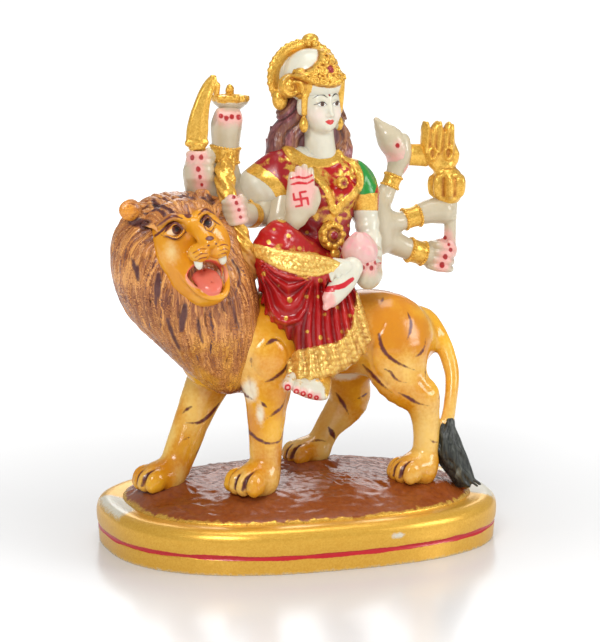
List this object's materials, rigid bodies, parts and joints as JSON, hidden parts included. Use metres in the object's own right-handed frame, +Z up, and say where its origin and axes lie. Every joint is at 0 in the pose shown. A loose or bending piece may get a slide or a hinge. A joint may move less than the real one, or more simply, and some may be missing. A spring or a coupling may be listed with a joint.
{
  "type": "durga figure",
  "caption": "Painted resin figure of a many-armed goddess seated sideways on a walking lion, on an oval plinth, to stand on a shelf or a home altar.",
  "frame": {"origin": "centre of the plinth's flat underside", "axes": "+Z up, the lion walks towards -X and the goddess faces -Y"},
  "size_m": [0.1105, 0.084, 0.1378],
  "materials": {
    "painted_resin": "gloss",
    "marble_resin": "satin, slightly translucent",
    "gold_paint": "glitter",
    "red_paint": "gloss",
    "lion_paint": "gloss",
    "hair_paint": "satin",
    "earth_paint": "gloss"
  },
  "bodies": {
    "root": {"durga_on_lion": "painted_resin"}
  },
  "joints": []
}
